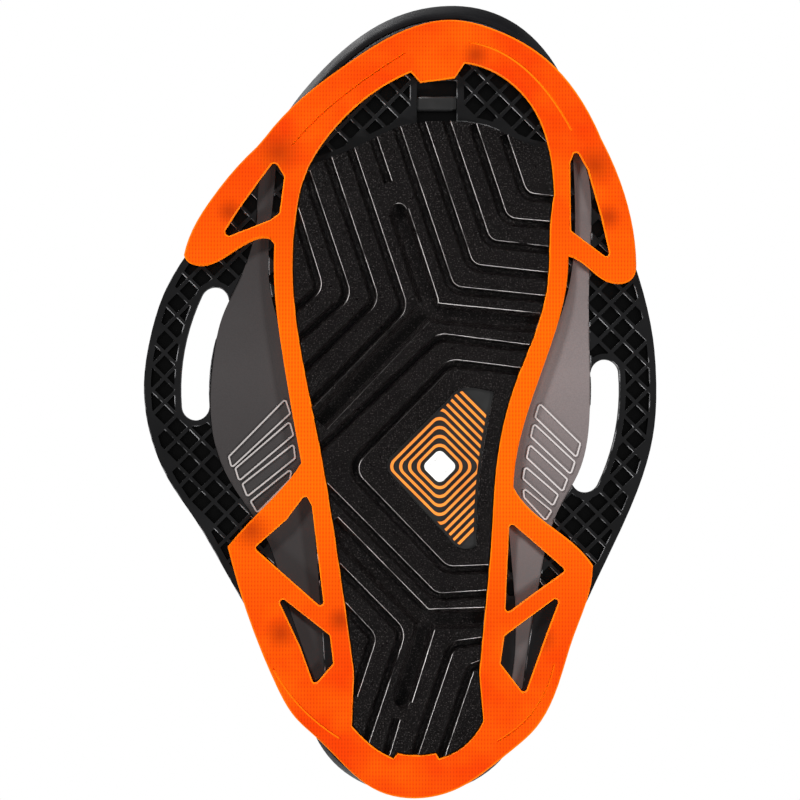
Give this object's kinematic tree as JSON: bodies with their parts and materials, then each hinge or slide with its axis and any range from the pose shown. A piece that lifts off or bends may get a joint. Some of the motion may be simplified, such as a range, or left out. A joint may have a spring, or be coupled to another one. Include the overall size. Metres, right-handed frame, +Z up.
{
  "type": "wakeboard boot binding",
  "caption": "Right wakeboard boot binding: padded boot with two peel-open straps on a ribbed chassis with two arc slots for board bolts.",
  "frame": {"origin": "on the board face under the boot, at the centre of the circle that the two mounting slots follow", "axes": "+Z up from the board, -Y toward the toe, +X toward the inner (big toe) side of a right foot"},
  "size_m": [0.1901, 0.3128, 0.2321],
  "materials": {
    "orange_elastomer": "moulded, satin with fine ribs",
    "black_nylon": "moulded, semi-gloss",
    "sole_rubber": "moulded, fine texture",
    "inlay_black": "smooth",
    "inlay_orange": "satin",
    "badge_white": "satin",
    "plate_dark": "satin",
    "plate_light": "satin",
    "bar_black": "satin",
    "shell_black": "synthetic leather",
    "board_fibre": "fibre board",
    "steel": "stainless",
    "liner_fabric": "brushed knit over foam",
    "footbed_foam": "moulded foam",
    "tongue_fabric": "padded fabric",
    "facing_grey": "synthetic leather",
    "rand_rubber": "moulded",
    "bumper_rubber": "moulded",
    "counter_black": "moulded",
    "webbing": "woven",
    "strap_black": "laminated strap",
    "anchor_black": "moulded",
    "loop_pile": "loop pile"
  },
  "bodies": {
    "chassis": {"base_gasket": "orange_elastomer", "chassis_frame": "black_nylon", "outsole": "sole_rubber", "sole_inlay": "inlay_black", "inlay_lines": "inlay_orange", "inlay_badge": "badge_white", "side_plate_lateral": "plate_dark", "side_plate_medial": "plate_light", "toe_bridge_bar": "bar_black", "boot_shell": "shell_black", "lasting_board": "board_fibre", "boot_screws": "steel", "liner": "liner_fabric", "footbed": "footbed_foam", "tongue": "tongue_fabric", "throat_facing": "facing_grey", "rand": "rand_rubber", "toe_bumper": "bumper_rubber", "heel_counter": "counter_black", "pull_loop": "webbing", "cuff_strap_anchor": "anchor_black", "cuff_strap_pin": "steel", "cuff_strap_landing": "loop_pile", "instep_strap_anchor": "anchor_black", "instep_strap_pin": "steel", "instep_strap_landing": "loop_pile"},
    "cuff_strap_body": {"cuff_strap": "strap_black"},
    "instep_strap_body": {"instep_strap": "strap_black"}
  },
  "joints": [
    {"name": "cuff_strap_peel", "type": "hinge", "parent": "chassis", "child": "cuff_strap_body", "pos_m": [-0.0498, 0.077, 0.176], "axis": [0.08, 0, -0.9968], "range_deg": [0, 95]},
    {"name": "instep_strap_peel", "type": "hinge", "parent": "chassis", "child": "instep_strap_body", "pos_m": [-0.048, 0.026, 0.05], "axis": [-0.165, -0.634, -0.7555], "range_deg": [0, 95]}
  ]
}
